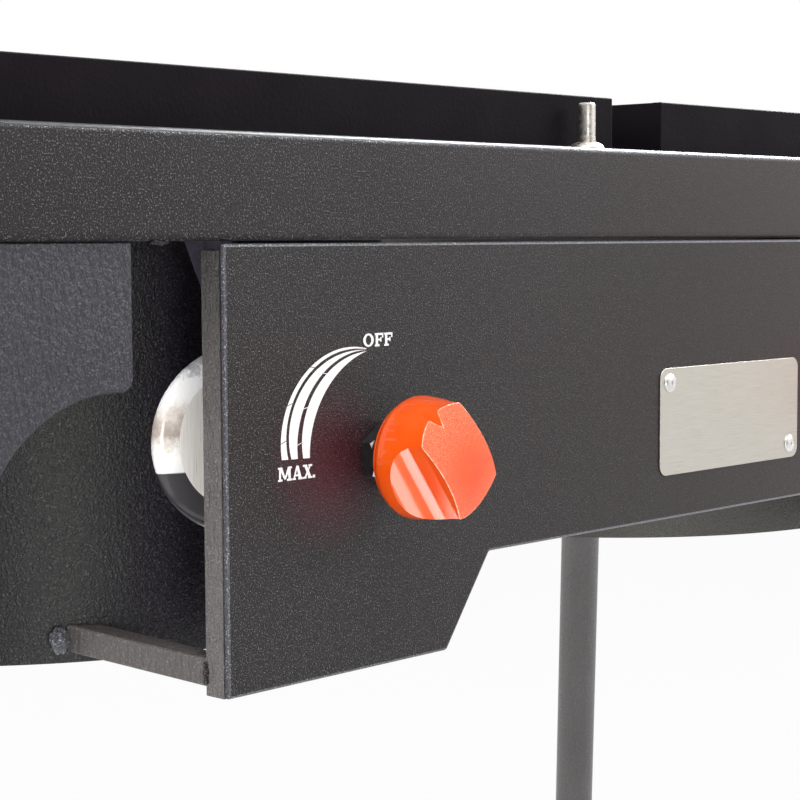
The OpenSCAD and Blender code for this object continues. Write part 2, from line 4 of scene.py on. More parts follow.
import bmesh
import bpy
import numpy as np
from mathutils import Matrix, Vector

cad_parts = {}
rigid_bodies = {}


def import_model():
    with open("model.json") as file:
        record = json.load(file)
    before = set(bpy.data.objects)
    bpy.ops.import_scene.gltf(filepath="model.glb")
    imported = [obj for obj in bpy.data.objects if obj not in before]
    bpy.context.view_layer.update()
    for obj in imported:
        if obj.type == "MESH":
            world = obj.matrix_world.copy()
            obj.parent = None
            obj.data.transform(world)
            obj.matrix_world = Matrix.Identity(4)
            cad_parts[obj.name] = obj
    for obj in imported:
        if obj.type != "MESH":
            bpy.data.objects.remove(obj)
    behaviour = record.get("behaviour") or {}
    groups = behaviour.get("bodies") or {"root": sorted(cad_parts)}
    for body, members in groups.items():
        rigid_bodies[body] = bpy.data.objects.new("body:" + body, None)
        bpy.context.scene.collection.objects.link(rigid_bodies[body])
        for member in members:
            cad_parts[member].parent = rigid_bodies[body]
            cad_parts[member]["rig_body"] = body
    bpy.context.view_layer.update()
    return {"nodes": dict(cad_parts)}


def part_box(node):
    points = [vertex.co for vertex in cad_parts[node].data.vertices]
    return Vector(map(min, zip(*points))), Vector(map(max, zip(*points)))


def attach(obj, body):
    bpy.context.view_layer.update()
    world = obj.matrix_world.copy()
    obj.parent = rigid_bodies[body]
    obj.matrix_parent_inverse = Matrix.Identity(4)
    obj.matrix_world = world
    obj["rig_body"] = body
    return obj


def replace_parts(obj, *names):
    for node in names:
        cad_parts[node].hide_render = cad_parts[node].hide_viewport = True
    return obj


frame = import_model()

# ---------------------------------------------------------------- camera
# It stands at the height of the rails in front of the stand's left end, and looks along the
# control panel with a short telephoto lens.
yaw, pitch, roll = radians(46.76), radians(4.64), radians(-0.29)
camera_place = (-0.77096, -0.75937, 0.64885)
ahead = np.array([sin(yaw) * cos(pitch), cos(yaw) * cos(pitch), -sin(pitch)])
side_way = np.array([cos(yaw), -sin(yaw), 0.0])
up_way = np.cross(side_way, ahead)
side_way, up_way = (side_way * cos(roll) + up_way * sin(roll),
                    up_way * cos(roll) - side_way * sin(roll))
camera = bpy.data.objects.new("camera", bpy.data.cameras.new("camera"))
camera.data.lens = 90
camera.data.sensor_width = 36
camera.data.clip_end = 60
camera.matrix_world = (Matrix.Translation(camera_place)
                       @ Matrix([side_way, up_way, -ahead]).transposed().to_4x4())
scene = bpy.context.scene
scene.collection.objects.link(camera)
scene.camera = camera

# ---------------------------------------------------------------- studio
# A pale floor and a white room, with broad soft boxes above the stand. The room is darker
# behind the camera, where the photographer stands.
scene.view_settings.view_transform = "Standard"


def add_node(tree, kind, inputs=None, **settings):
    """One shader node of that kind with its settings. Each input named gets the value given, or
    a link from the socket given."""
    node = tree.nodes.new("ShaderNode" + kind)
    for name, value in settings.items():
        setattr(node, name, value)
    for name, value in (inputs or {}).items():
        if isinstance(value, bpy.types.NodeSocket):
            tree.links.new(value, node.inputs[name])
        else:
            node.inputs[name].default_value = value
    return node


def reckon(tree, operation, one, other=0.0):
    """The value that an operation gives for two values."""
    return add_node(tree, "Math", {0: one, 1: other}, operation=operation).outputs[0]


def times(tree, one, other):
    """The product of two values."""
    return reckon(tree, "MULTIPLY", one, other)


def between(tree, value, low, high, start, end):
    """Number that goes from start to end as value goes from low to high."""
    return add_node(tree, "MapRange", {"Value": value, "From Min": low, "From Max": high,
                                       "To Min": start, "To Max": end}).outputs["Result"]


def colours(tree, value, stops):
    """Colour that goes through the stops, pairs of a value and a colour."""
    node = add_node(tree, "ValToRGB", {"Fac": value})
    elements = node.color_ramp.elements
    for element, (position, colour) in ((elements[0], stops[0]), (elements[1], stops[-1])):
        element.position, element.color = position, (*colour, 1)
    for position, colour in stops[1:-1]:
        elements.new(position).color = (*colour, 1)
    return node.outputs["Color"]


def ramp(tree, value, low, high, start, end):
    """Colour that goes from start to end as value goes from low to high."""
    return colours(tree, value, [(low, start), (high, end)])


def blend(tree, share, one, other):
    """Shader that goes from one to the other as share goes from 0 to 1."""
    return add_node(tree, "MixShader", {0: share, 1: one, 2: other}).outputs[0]


def shine(tree, kind, colour, strength=1.0):
    """A background or an emission of a colour."""
    return add_node(tree, kind, {"Color": colour, "Strength": strength}).outputs[0]


def seen_directly(tree):
    """1 for rays of the camera and for those off gloss or through glass, else 0."""
    rays = add_node(tree, "LightPath").outputs
    either = reckon(tree, "MAXIMUM", rays["Is Camera Ray"], rays["Is Glossy Ray"])
    return reckon(tree, "MAXIMUM", either, rays["Is Transmission Ray"]), rays


def behind_camera(tree, where):
    """How far a point or a direction is on the photographer's side of the stand."""
    back = (-sin(yaw), -cos(yaw), 0.0)
    return add_node(tree, "VectorMath", {0: where, 1: back}, operation="DOT_PRODUCT").outputs["Value"]


world = bpy.data.worlds.new("studio")
world.use_nodes = True
scene.world = world
tree = world.node_tree
tree.nodes.clear()
direct, rays = seen_directly(tree)
way = add_node(tree, "TexCoord").outputs["Generated"]
height = reckon(tree, "ABSOLUTE", add_node(tree, "SeparateXYZ", {0: way}).outputs["Z"])
dim = times(tree, between(tree, behind_camera(tree, way), 0.30, 0.72, 0.0, 1.0),
            between(tree, height, 0.20, 0.50, 1.0, 0.0))
mirrored = shine(tree, "Background", ramp(tree, dim, 0.0, 1.0, (1, 1, 1), (0.14, 0.12, 0.125)))
room = shine(tree, "Background", (0.97, 0.98, 1.0, 1), 0.62)
plain = shine(tree, "Background", (1, 1, 1, 1))
seen = blend(tree, rays["Is Camera Ray"], blend(tree, direct, room, mirrored), plain)
add_node(tree, "OutputWorld", {"Surface": seen})


def soft_box(name, place, target, size, power, only_gloss=False, no_gloss=False, lit=None):
    """An area lamp that faces target. With only_gloss it is a reflector card, which shows in
    shiny surfaces and lights nothing else. With no_gloss it shows in none. It lights only the
    collection lit, if there is one."""
    lamp = bpy.data.lights.new(name, "AREA")
    lamp.shape = "RECTANGLE"
    lamp.size, lamp.size_y = size
    lamp.energy = power
    back = np.array(place, float) - np.array(target, float)
    back /= np.linalg.norm(back)
    across = np.cross((0, 0, 1), back)
    across /= np.linalg.norm(across)
    holder = bpy.data.objects.new(name, lamp)
    holder.matrix_world = (Matrix.Translation(place)
                           @ Matrix([across, np.cross(back, across), back]).transposed().to_4x4())
    holder.visible_camera = False
    holder.visible_diffuse = not only_gloss
    holder.visible_glossy = not no_gloss
    if lit is not None:
        holder.light_linking.receiver_collection = lit
    scene.collection.objects.link(holder)


soft_box("box_above", (-0.5, -1.2, 2.8), (-0.1, -0.1, 0.6), (2.4, 1.6), 40)
soft_box("box_right", (2.4, -2.6, 2.1), (0.0, -0.2, 0.6), (1.8, 1.2), 30)
soft_box("card_high_right", (2.3, 0.1, 2.4), (0.0, -0.2, 0.68), (0.9, 1.4), 170, only_gloss=True)
soft_box("box_left", (-2.3, 1.9, 0.9), (-0.3, -0.1, 0.6), (1.6, 1.6), 30)
soft_box("box_near", (-1.35, -2.1, 0.45), (-0.25, -0.1, 0.55), (0.45, 1.0), 11)

reach = 9.0
floor_mesh = bpy.data.meshes.new("floor")
floor_mesh.from_pydata([(reach * x, reach * y, 0) for x, y in ((-1, -1), (1, -1), (1, 1), (-1, 1))],
                       [], [(0, 1, 2, 3)])
floor = bpy.data.objects.new("floor", floor_mesh)
scene.collection.objects.link(floor)
pale = bpy.data.materials.new("pale floor")
pale.use_nodes = True
tree = pale.node_tree
tree.nodes.clear()
direct, rays = seen_directly(tree)
matt = add_node(tree, "BsdfDiffuse", {"Color": (0.86, 0.86, 0.86, 1)}).outputs[0]
lit_floor = blend(tree, times(tree, direct, 0.90), matt, shine(tree, "Emission", (1, 1, 1, 1)))
# the far floor behind the camera lies in the dark of the room, for gloss only
where = add_node(tree, "TexCoord").outputs["Object"]
away = between(tree, behind_camera(tree, where), 1.3, 2.6, 0.0, 0.85)
unlit = shine(tree, "Emission", (0.1, 0.09, 0.09, 1))
add_node(tree, "OutputMaterial",
         {"Surface": blend(tree, times(tree, away, rays["Is Glossy Ray"]), lit_floor, unlit)})
floor_mesh.materials.append(pale)

# ---------------------------------------------------------------- frame rails
# Square steel tube, mitred and welded into a rectangle with one rail across its middle. The
# whole frame is baked in black powder paint with a fine, sandy grain, whose glitter is painted as pale
# specks.


def new_material(name, roughness, metallic=0.0, **even):
    """A material whose shader has these even values, its tree, shader sockets and coordinates."""
    material = bpy.data.materials.new(name)
    material.use_nodes = True
    tree = material.node_tree
    shader = tree.nodes["Principled BSDF"].inputs
    shader["Roughness"].default_value = roughness
    shader["Metallic"].default_value = metallic
    for socket, value in even.items():
        shader[socket.replace("_", " ")].default_value = value
    return material, tree, shader, add_node(tree, "TexCoord").outputs["Object"]


def noise(tree, where, scale, detail=2.0, rough=0.5, stretch=None):
    """A noise value between 0 and 1 whose clouds are 1 / scale metres wide, or longer along
    the axes that stretch shrinks."""
    if stretch is not None:
        where = add_node(tree, "Mapping", {"Vector": where, "Scale": stretch}).outputs["Vector"]
    return add_node(tree, "TexNoise", {"Vector": where, "Scale": scale, "Detail": detail,
                                       "Roughness": rough}).outputs["Fac"]


def over(tree, share, under, top):
    """Colour under with the even colour top laid over it by the value share."""
    return add_node(tree, "MixRGB", {"Fac": share, "Color1": under, "Color2": (*top, 1)}).outputs["Color"]


def apart(tree, where):
    """The coordinates of a point, one by one."""
    return add_node(tree, "SeparateXYZ", {0: where}).outputs


def distance_from(tree, where, at_x, at_z):
    """How far a point is from the level line through at_x and at_z that runs from front to
    back, on either half of the stand."""
    place = apart(tree, where)
    spot = add_node(tree, "CombineXYZ", {"X": reckon(tree, "ABSOLUTE", place["X"]), "Z": place["Z"]})
    return add_node(tree, "VectorMath", {0: spot.outputs[0], 1: (at_x, 0.0, at_z)},
                    operation="DISTANCE").outputs["Value"]


def roughen(tree, shader, *bumps):
    """Bumps the shader by pairs of a height value and a depth in metres, one over the other."""
    inputs = {"Strength": 1.0}
    for height, depth in bumps:
        inputs.update({"Height": height, "Distance": depth})
        inputs["Normal"] = add_node(tree, "Bump", inputs).outputs["Normal"]
    tree.links.new(inputs["Normal"], shader["Normal"])


def powder_paint(name, tone, glint_colour, roughness, grain, depth, lump, lump_depth, stretch=(1, 1, 1),
                 from_value=0.60, calm=1.0, shade_above=None, far_light_tone=None, **even):
    """Powder paint: a dark tone in soft clouds, with bumps of width grain, slow lumps of width
    lump, and paler specks of the glint colour, painted glints, where the grain's noise is above
    from_value. Towards the stand's middle the grain and its painted glints calm down to the
    share calm, and a little towards its left end too, and the tone turns to the far tone, a
    painted light. From the first height given for the painted shade above to the second, the
    tone darkens by the share in third place."""
    material, tree, shader, where = new_material(name, roughness, **even)
    place = apart(tree, where)
    coarse = reckon(tree, "MINIMUM", between(tree, place["X"], -0.27, 0.0, 1.0, calm),
                    between(tree, place["X"], -0.45, -0.33, 0.45, 1.0))
    base = ramp(tree, noise(tree, where, 11, 4), 0.3, 0.7,
                [0.86 * t for t in tone], [1.14 * t for t in tone])
    # painted light: the tone turns paler from left of the middle to right of it
    if far_light_tone is not None:
        base = over(tree, between(tree, place["X"], -0.21, 0.12, 0.0, 1.0), base, far_light_tone)
    sand = noise(tree, where, 1 / grain, 1.5, 0.6)
    # painted glints: pale specks where the grain's noise is high
    painted_glints = between(tree, sand, from_value, from_value + 0.13, 0.0, 0.9)
    base = over(tree, times(tree, painted_glints, coarse), base, glint_colour)
    # painted shade: the tone darkens between the two heights
    if shade_above is not None:
        low, high, share = shade_above
        base = over(tree, between(tree, place["Z"], low, high, 0.0, share), base,
                    [0.15 * t for t in tone])
    tree.links.new(base, shader["Base Color"])
    tree.links.new(between(tree, noise(tree, where, 0.7 / grain, 0.5), 0.55, 0.75,
                           roughness, roughness * 0.5), shader["Roughness"])
    roughen(tree, shader, (noise(tree, where, 1 / lump, 2, 0.5, stretch), lump_depth),
            (times(tree, sand, coarse), depth))
    return material


def clouded(name, roughness, clouds, low, high, start, end, *bumps, **even):
    """A material whose colour goes from start to end as its clouds, a noise given by scale and
    detail, go from low to high. Each bump is a depth in metres and its noise's values."""
    material, tree, shader, where = new_material(name, roughness, **even)
    tree.links.new(ramp(tree, noise(tree, where, *clouds), low, high, start, end), shader["Base Color"])
    if bumps:
        roughen(tree, shader, *[(noise(tree, where, *cloud), depth) for depth, *cloud in bumps])
    return material


def merge_flats(shape):
    """Joins each flat region of triangles that has no hole into one face. A region has none
    where its vertices less its edges plus its faces come to one."""
    taken, regions = set(), []
    for start in shape.faces:
        region, edge_of = [], [] if start in taken else [start]
        taken.add(start)
        while edge_of:
            face = edge_of.pop()
            region.append(face)
            for rim in face.edges:
                if len(rim.link_faces) == 2 and rim.calc_face_angle(0.0) < 0.004:
                    fresh = [other for other in rim.link_faces if other not in taken]
                    taken.update(fresh)
                    edge_of += fresh
        if len(region) > 1:
            corners = {v for face in region for v in face.verts}
            rims = {e for face in region for e in face.edges}
            if len(corners) - len(rims) + len(region) == 1:
                regions.append(region)
    for region in regions:
        bmesh.ops.dissolve_faces(shape, faces=region, use_verts=False)


def new_piece(name, mesh):
    """A new object of the scene with that mesh."""
    piece = bpy.data.objects.new(name, mesh)
    scene.collection.objects.link(piece)
    return piece


def round_edges(piece, width, steps, **settings):
    """Rounds a piece's edges to the radius width."""
    rounding = piece.modifiers.new("rounded edges", "BEVEL")
    for name, value in dict(settings, width=width, segments=steps, harden_normals=True).items():
        setattr(rounding, name, value)


def finish_in(piece, material):
    """Gives a piece one material."""
    piece.data.materials.append(material)
    return piece


def cad_copy(node, material, edge=0.0, steps=2, corner=32):
    """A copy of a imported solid, merged into one skin with whole flat faces. Its outer edges that
    turn more than corner degrees are rounded to the radius edge, inner ones stay sharp."""
    source = frame["nodes"][node]
    mesh = source.data.copy()
    for name in ("custom_normal", "sharp_edge", "sharp_face"):
        if name in mesh.attributes:
            mesh.attributes.remove(mesh.attributes[name])
    shape = bmesh.new()
    shape.from_mesh(mesh)
    bmesh.ops.remove_doubles(shape, verts=shape.verts, dist=2e-6)
    merge_flats(shape)
    weight = shape.edges.layers.float.new("bevel_weight_edge")
    for line in shape.edges:
        bend = line.calc_face_angle_signed(0.0)
        line[weight] = 1.0 if edge and bend > radians(corner) else 0.0
        line.smooth = abs(bend) < radians(corner) or line[weight] == 1.0
    shape.to_mesh(mesh)
    shape.free()
    mesh.materials.clear()
    mesh.shade_smooth()
    piece = new_piece(node + "_shell", mesh)
    if edge:
        round_edges(piece, edge, steps, limit_method="WEIGHT", miter_outer="MITER_ARC")
    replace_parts(piece, node)
    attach(piece, source["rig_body"])
    return finish_in(piece, material)


def face_table(piece):
    """The normals and the centres of a piece's faces."""
    faces = piece.data.polygons
    table = []
    for name in ("normal", "center"):
        values = np.empty(3 * len(faces), np.float32)
        faces.foreach_get(name, values)
        table.append(values.reshape(-1, 3).astype(float))
    return table


def paint_faces(piece, material, chosen):
    """Gives the chosen faces of a piece a second material."""
    piece.data.materials.append(material)
    piece.data.polygons.foreach_set("material_index", chosen.astype(np.int32))


# the frame's paint turns paler towards the stand's right as painted light
frame_paint = powder_paint("black powder paint", (0.0105, 0.0095, 0.0104), (0.19, 0.184, 0.186),
                           0.42, 0.00070, 0.00040, 0.0045, 0.00010, (0.6, 1.0, 0.8), 0.57, 0.35,
                           far_light_tone=(0.038, 0.0305, 0.0295), Specular_IOR_Level=0.31,
                           Specular_Tint=(1.0, 0.95, 0.97, 1.0))
# painted highlight: a much paler copy of the frame's paint for eased edges and weld blobs, paler still
# towards the stand's right
edge_highlight_paint = powder_paint("painted edge highlight", (0.072, 0.073, 0.084), (0.40, 0.41, 0.44),
                          0.30, 0.00070, 0.00014, 0.0045, 0.00006, from_value=0.56, calm=0.4,
                          far_light_tone=(0.135, 0.133, 0.155))
rail_edge, tree, shader, where = new_material("rail rounding highlight paint", 0.34, Specular_IOR_Level=0.25,
                                              Specular_Tint=(0.86, 0.93, 1.0, 1.0))
# painted highlight: the roundings turn paler and bluer towards the stand's right, in patches
rail_highlight = reckon(tree, "ADD", apart(tree, where)["X"],
              times(tree, noise(tree, where, 90, 3), noise(tree, where, 9, 2)))
tree.links.new(ramp(tree, between(tree, rail_highlight, -0.15, 0.42, 0.0, 1.0), 0.0, 1.0,
                    (0.016, 0.015, 0.016), (0.15, 0.165, 0.20)), shader["Base Color"])
roughen(tree, shader, (noise(tree, where, 1400, 2), 0.00004))
for node in ("front_rail", "rear_rail", "left_rail", "right_rail", "centre_rail"):
    rail = cad_copy(node, frame_paint)
    # the tube's upper roundings, whose normals lie between the flats', are smoother and carry the painted
    # highlight
    normals = face_table(rail)[0]
    paint_faces(rail, rail_edge, (np.abs(normals).max(1) < 0.995) & (normals[:, 2] > 0.4))

# ---------------------------------------------------------------- corner brackets
# Sheet folded round each corner of the frame, with a big round cut-out between its arm under
# the rail and its arm down the leg. Painted with the frame, in a lumpier coat.
bracket_paint = powder_paint("bracket powder paint", (0.026, 0.0245, 0.031), (0.085, 0.084, 0.096),
                             0.40, 0.00075, 0.00020, 0.0021, 0.00075, (1.0, 1.0, 0.6), 0.53,
                             Specular_Tint=(0.95, 0.95, 1.0, 1.0))
corners = ("front_left", "front_right", "rear_left", "rear_right")
for corner in corners:
    cad_copy("corner_bracket_" + corner, bracket_paint, 0.0011, 3)

# ---------------------------------------------------------------- frame welds
# Beads where the brackets and the centre rail meet the rails, painted over with the frame.


def ring_faces(rings, around):
    """The faces of a skin of rings of so many points, each ring joined to the next."""
    row, column = np.meshgrid(np.arange(rings - 1), np.arange(around), indexing="ij")
    first, after = row * around + column, row * around + (column + 1) % around
    return np.stack([first, after, after + around, first + around], -1).reshape(-1, 4)


def ring_skin(name, points, body, merge):
    """A smooth closed piece from points on a grid of rings by turn. Corners closer than merge
    become one, and the faces are turned outwards."""
    mesh = bpy.data.meshes.new(name)
    mesh.from_pydata(points.reshape(-1, 3).tolist(), [], ring_faces(*points.shape[:2]).tolist())
    skin = bmesh.new()
    skin.from_mesh(mesh)
    bmesh.ops.remove_doubles(skin, verts=skin.verts, dist=merge)
    bmesh.ops.recalc_face_normals(skin, faces=skin.faces)
    skin.to_mesh(mesh)
    skin.free()
    mesh.shade_smooth()
    piece = new_piece(name, mesh)
    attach(piece, body)
    return piece


def weld_bead(name, path, radius, body="frame", material=frame_paint):
    """A weld: a tube along a path whose radius swells and pinches with each puddle, given by
    radius times (1 + 0.16 sin of the length run), and wanders a little by slower sines. It
    shrinks to a point at both ends."""
    path = np.asarray(path, float)
    leg = np.linalg.norm(np.diff(path, axis=0), axis=1)
    run = np.concatenate([[0], np.cumsum(leg)])
    rings = max(10, int(run[-1] / (radius * 0.45)))
    at = np.linspace(0, run[-1], rings)
    spine = np.stack([np.interp(at, run, path[:, k]) for k in range(3)], -1)
    along = np.gradient(spine, axis=0)
    along /= np.linalg.norm(along, axis=1)[:, None]
    helper = np.where(np.abs(along[:, 2:3]) < 0.9, [[0.0, 0, 1]], [[1.0, 0, 0]])
    side = np.cross(along, helper)
    side /= np.linalg.norm(side, axis=1)[:, None]
    rise = np.cross(side, along)
    ends = np.sqrt(np.clip(1 - (2 * at / run[-1] - 1) ** 8, 0, 1))
    swell = radius * ends * (1 + 0.16 * np.sin(at / (0.5 * radius))
                             + 0.1 * np.sin(at / (2.3 * radius) + 1))
    turn = np.linspace(0, 2 * pi, 12, endpoint=False)
    lumps = 1 + 0.12 * np.sin(3 * turn[None, :] + at[:, None] / (1.3 * radius))
    points = (spine[:, None] + (swell[:, None] * lumps)[..., None]
              * (side[:, None] * np.cos(turn)[None, :, None] + rise[:, None] * np.sin(turn)[None, :, None]))
    return finish_in(ring_skin(name, points, body, 1e-6), material)


def weld_lump(name, middle, size):
    """A short weld in one blob: an ellipsoid of the half sizes given, on a grid of rise by
    turn, whose radius is 1 + 0.14 sin(3 turn + 2 rise) sin(4 rise)
    + 0.07 sin(7 turn) cos(5 rise) cos(rise)."""
    rise, turn = np.meshgrid(np.linspace(-pi / 2, pi / 2, 25),
                             np.linspace(0, 2 * pi, 36, endpoint=False), indexing="ij")
    swell = (1 + 0.14 * np.sin(3 * turn + 2 * rise) * np.sin(4 * rise)
             + 0.07 * np.sin(7 * turn) * np.cos(5 * rise) * np.cos(rise))
    ball = np.stack([np.cos(rise) * np.cos(turn), np.cos(rise) * np.sin(turn), np.sin(rise)], -1)
    points = swell[..., None] * ball * np.array(size) + np.array(middle)
    # the blob takes the paler edge paint, a painted highlight
    return finish_in(ring_skin(name, points, "frame", 1e-5), edge_highlight_paint)


sides = (("left", -1), ("right", 1))
rail_under, rail_top = (corner_point[2] for corner_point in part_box("front_rail"))
half_x, half_y = 0.455, 0.217
bracket_arm, seam_in, seam_z = 0.124, 0.0075, rail_under - 0.0004
for corner in corners:
    sx, sy = (1 if "right" in corner else -1), (1 if "rear" in corner else -1)
    weld_bead("bracket_weld_x_" + corner,
              [(sx * (half_x - back), sy * (half_y - seam_in), seam_z) for back in (0.010, bracket_arm)],
              0.0021)
    weld_bead("bracket_weld_y_" + corner,
              [(sx * (half_x - seam_in), sy * (half_y - back), seam_z) for back in (0.010, bracket_arm)],
              0.0021)
    # a run of paint and spatter beside the bracket's end
    weld_bead("rail_run_" + corner,
              [(sx * x, sy * y, z) for x, y, z in ((0.3190, 0.2150, 0.6484), (0.3165, 0.2148, 0.6478),
                                                   (0.3140, 0.2146, 0.6474), (0.3108, 0.2150, 0.6484))],
              0.0011)
for end, sy in (("front", -1), ("rear", 1)):
    for side, sx in sides:
        weld_bead(f"centre_weld_{end}_{side}",
                  [(sx * 0.0202, sy * (half_y - 0.0402), z) for z in (rail_under + 0.002, rail_top - 0.003)],
                  0.0017)

# ---------------------------------------------------------------- legs
# Round tubes that plug into welded sockets and are held by a cross bolt. Each stands in a
# rubber foot.
rubber = clouded("foot rubber", 0.75, (60, 4), 0.35, 0.7, (0.012, 0.012, 0.012), (0.03, 0.029, 0.028),
                 (0.0001, 900, 2))
leg_paint = powder_paint("leg powder paint", (0.110, 0.104, 0.102), (0.22, 0.215, 0.21),
                         0.36, 0.0009, 0.00018, 0.005, 0.00010)
for corner in corners:
    cad_copy("leg_socket_" + corner, frame_paint)
    cad_copy("leg_" + corner, leg_paint)
    cad_copy("foot_" + corner, rubber, 0.0012, 3)

# ---------------------------------------------------------------- leg bolts and nuts
# Hexagon bolts through socket and leg, zinc plated like every fastener of the stand.


def plated(name, tone, roughness):
    """Bright plating: metal whose shine is broken by faint clouds and fine scratches."""
    material, tree, shader, where = new_material(name, roughness, 1.0)
    tree.links.new(ramp(tree, noise(tree, where, 240, 3), 0.3, 0.75, [0.78 * t for t in tone], tone),
                   shader["Base Color"])
    tree.links.new(between(tree, noise(tree, where, 700, 2), 0.3, 0.7, roughness * 0.7, roughness * 1.5),
                   shader["Roughness"])
    roughen(tree, shader, (noise(tree, where, 1600, 2), 0.00002))
    return material


zinc = plated("zinc plating", (0.76, 0.72, 0.66), 0.36)
for node in ("leg_bolts", "leg_nuts", "burner_bolts"):
    cad_copy(node, zinc, 0.0005)

# ---------------------------------------------------------------- windscreens
# Steel sheet rolled into a deep ring round each burner, with a round air port towards the
# panel. Hung from the rails by short flats. Its paint has a lumpy, glittering skin.
# the screens' paint turns paler towards the stand's right, a painted light on the right screen
screen_paint = powder_paint("windscreen paint", (0.020, 0.0160, 0.0245), (0.10, 0.095, 0.100),
                            0.36, 0.0008, 0.00024, 0.0016, 0.00024, (1.0, 1.0, 0.7), 0.58,
                            far_light_tone=(0.110, 0.104, 0.098), Specular_IOR_Level=0.36,
                            Specular_Tint=(0.95, 1.0, 0.84, 1.0))
for side, _ in sides:
    cad_copy("windscreen_" + side, screen_paint, 0.0005)
    cad_copy("burner_bars_" + side, frame_paint, 0.0006)
cad_copy("screen_hangers", frame_paint, 0.0006)
burner_x, screen_radius, hanger_x = 0.22, 0.1675, 0.060
for side, sx in sides:
    for place, dx, sy in (("a", -hanger_x, -1), ("b", hanger_x, -1), ("c", -hanger_x, 1), ("d", hanger_x, 1)):
        at_x = sx * burner_x + dx
        at_y = sy * (screen_radius ** 2 - dx ** 2) ** 0.5 + sy * 0.0006
        for edge, edge_x in (("left", -0.0026), ("right", 0.0026)):
            weld_bead(f"hanger_weld_{side}_{place}_{edge}",
                      [(at_x + edge_x, at_y, 0.656), (at_x + edge_x, at_y, 0.679)], 0.0014)

# ---------------------------------------------------------------- burners
# Sand-cast iron bowls with a mixing tube to the air port and a drilled lid.
cast_iron = clouded("cast iron", 0.62, (35, 5), 0.3, 0.75, (0.018, 0.017, 0.017), (0.05, 0.046, 0.043),
                    (0.0004, 500, 4, 0.7), metallic=0.6)
for side, _ in sides:
    cad_copy("burner_casting_" + side, cast_iron)
    cad_copy("burner_cap_" + side, cast_iron)

# ---------------------------------------------------------------- air shutters
# Pressed cups of polished steel over the mixing tubes' mouths. They turn on the gas jets to
# open or close two windows. Their dome is polished and their face is brushed upright.
port_turn = radians(5.9)
cup_z, cup_half = 0.569, 0.0365
polished, tree, shader, where = new_material("polished steel", 0.16, 0.25)
# its height on the cup, from 0 at the bottom to 1 at the top, ruffled from the brown band up; the dome's
# colours by height are painted reflections: dark at the bottom, white bands, a brown band and grey at the top
rise = between(tree, apart(tree, where)["Z"], cup_z - cup_half, cup_z + cup_half, 0.0, 1.0)
ruffle = between(tree, noise(tree, where, 260, 5, 0.75), 0.3, 0.7, -0.05, 0.05)
reflection_height = reckon(tree, "ADD", rise, times(tree, ruffle, between(tree, rise, 0.38, 0.46, 0.0, 1.0)))
tree.links.new(colours(tree, reflection_height, [
    (0.0, (0.05, 0.048, 0.05)), (0.340, (0.045, 0.043, 0.045)), (0.347, (0.74, 0.73, 0.71)),
    (0.44, (0.84, 0.83, 0.81)), (0.505, (0.60, 0.55, 0.50)), (0.56, (0.34, 0.29, 0.255)),
    (0.61, (0.46, 0.40, 0.36)), (0.67, (0.66, 0.60, 0.55)), (0.73, (0.90, 0.89, 0.87)),
    (0.865, (0.90, 0.90, 0.90)), (0.905, (0.40, 0.40, 0.41)), (1.0, (0.46, 0.46, 0.47))]),
               shader["Base Color"])
tree.links.new(between(tree, noise(tree, where, 420, 4, 0.7), 0.35, 0.75, 0.08, 0.26), shader["Roughness"])
roughen(tree, shader, (noise(tree, where, 300, 3), 0.00008))
brushed_face, tree, shader, where = new_material("brushed steel face", 0.34, 0.4)
upright = noise(tree, where, 1500, 3, 0.7, (1.0, 1.0, 0.03))
tree.links.new(ramp(tree, upright, 0.3, 0.7, (0.74, 0.69, 0.63), (0.92, 0.90, 0.87)), shader["Base Color"])
tree.links.new(between(tree, upright, 0.3, 0.7, 0.26, 0.44), shader["Roughness"])
roughen(tree, shader, (upright, 0.00002))
# a soft box of their own, as they sit in the shade of the rail
lit_cups = bpy.data.collections.new("lit cups")
soft_box("box_cups", (-1.05, -0.85, 0.75), (-0.23, -0.16, 0.57), (0.9, 0.9), 28, no_gloss=True, lit=lit_cups)
for side, sx in sides:
    cup = cad_copy("air_shutter_" + side, polished, corner=24)
    facing = face_table(cup)[0] @ np.array([sx * sin(port_turn), -cos(port_turn), 0.0])
    paint_faces(cup, brushed_face, facing > 0.995)
    lit_cups.objects.link(cup)

# ---------------------------------------------------------------- gas fittings
# Brass jets, bent tubes, valve bodies and stems, a black gas pipe across the stand and its
# brass elbow with a male flare.
brass = plated("brass", (0.80, 0.60, 0.24), 0.24)
for fitting in ("orifice_", "gas_tube_", "valve_body_", "valve_stem_"):
    for side, _ in sides:
        cad_copy(fitting + side, brass)
cad_copy("inlet_fitting", brass)
pipe_black = powder_paint("black pipe", (0.022, 0.022, 0.022), (0.07, 0.07, 0.068), 0.45,
                          0.0010, 0.0001, 0.004, 0.0001)
cad_copy("gas_manifold", pipe_black)

# ---------------------------------------------------------------- control panel
# One flat sheet under the front rail, with a deeper tab at each end. Its edges are eased, and
# it is painted with the frame. An upright bar and a slanted brace hold each end.


def plate(name, outline, front, back, edge, edge_slot=-1):
    """A flat plate: the same outline of (x, z) points, counter-clockwise as seen from the
    front, at the two depths front and back, closed round the rim. A bevel of radius edge eases
    both rims, in the material in the place edge_slot."""
    outline = np.asarray(outline, float)
    count = len(outline)
    points = np.concatenate([np.insert(outline, 1, depth, axis=1) for depth in (front, back)])
    here = np.arange(count)
    after = (here + 1) % count
    faces = [here.tolist(), (count + here[::-1]).tolist()]
    faces += np.stack([here, here + count, after + count, after], 1).tolist()
    mesh = bpy.data.meshes.new(name)
    mesh.from_pydata(points.tolist(), [], faces)
    mesh.shade_smooth()
    piece = new_piece(name, mesh)
    round_edges(piece, edge, 3, limit_method="ANGLE", angle_limit=radians(32), material=edge_slot)
    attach(piece, "frame")
    return piece


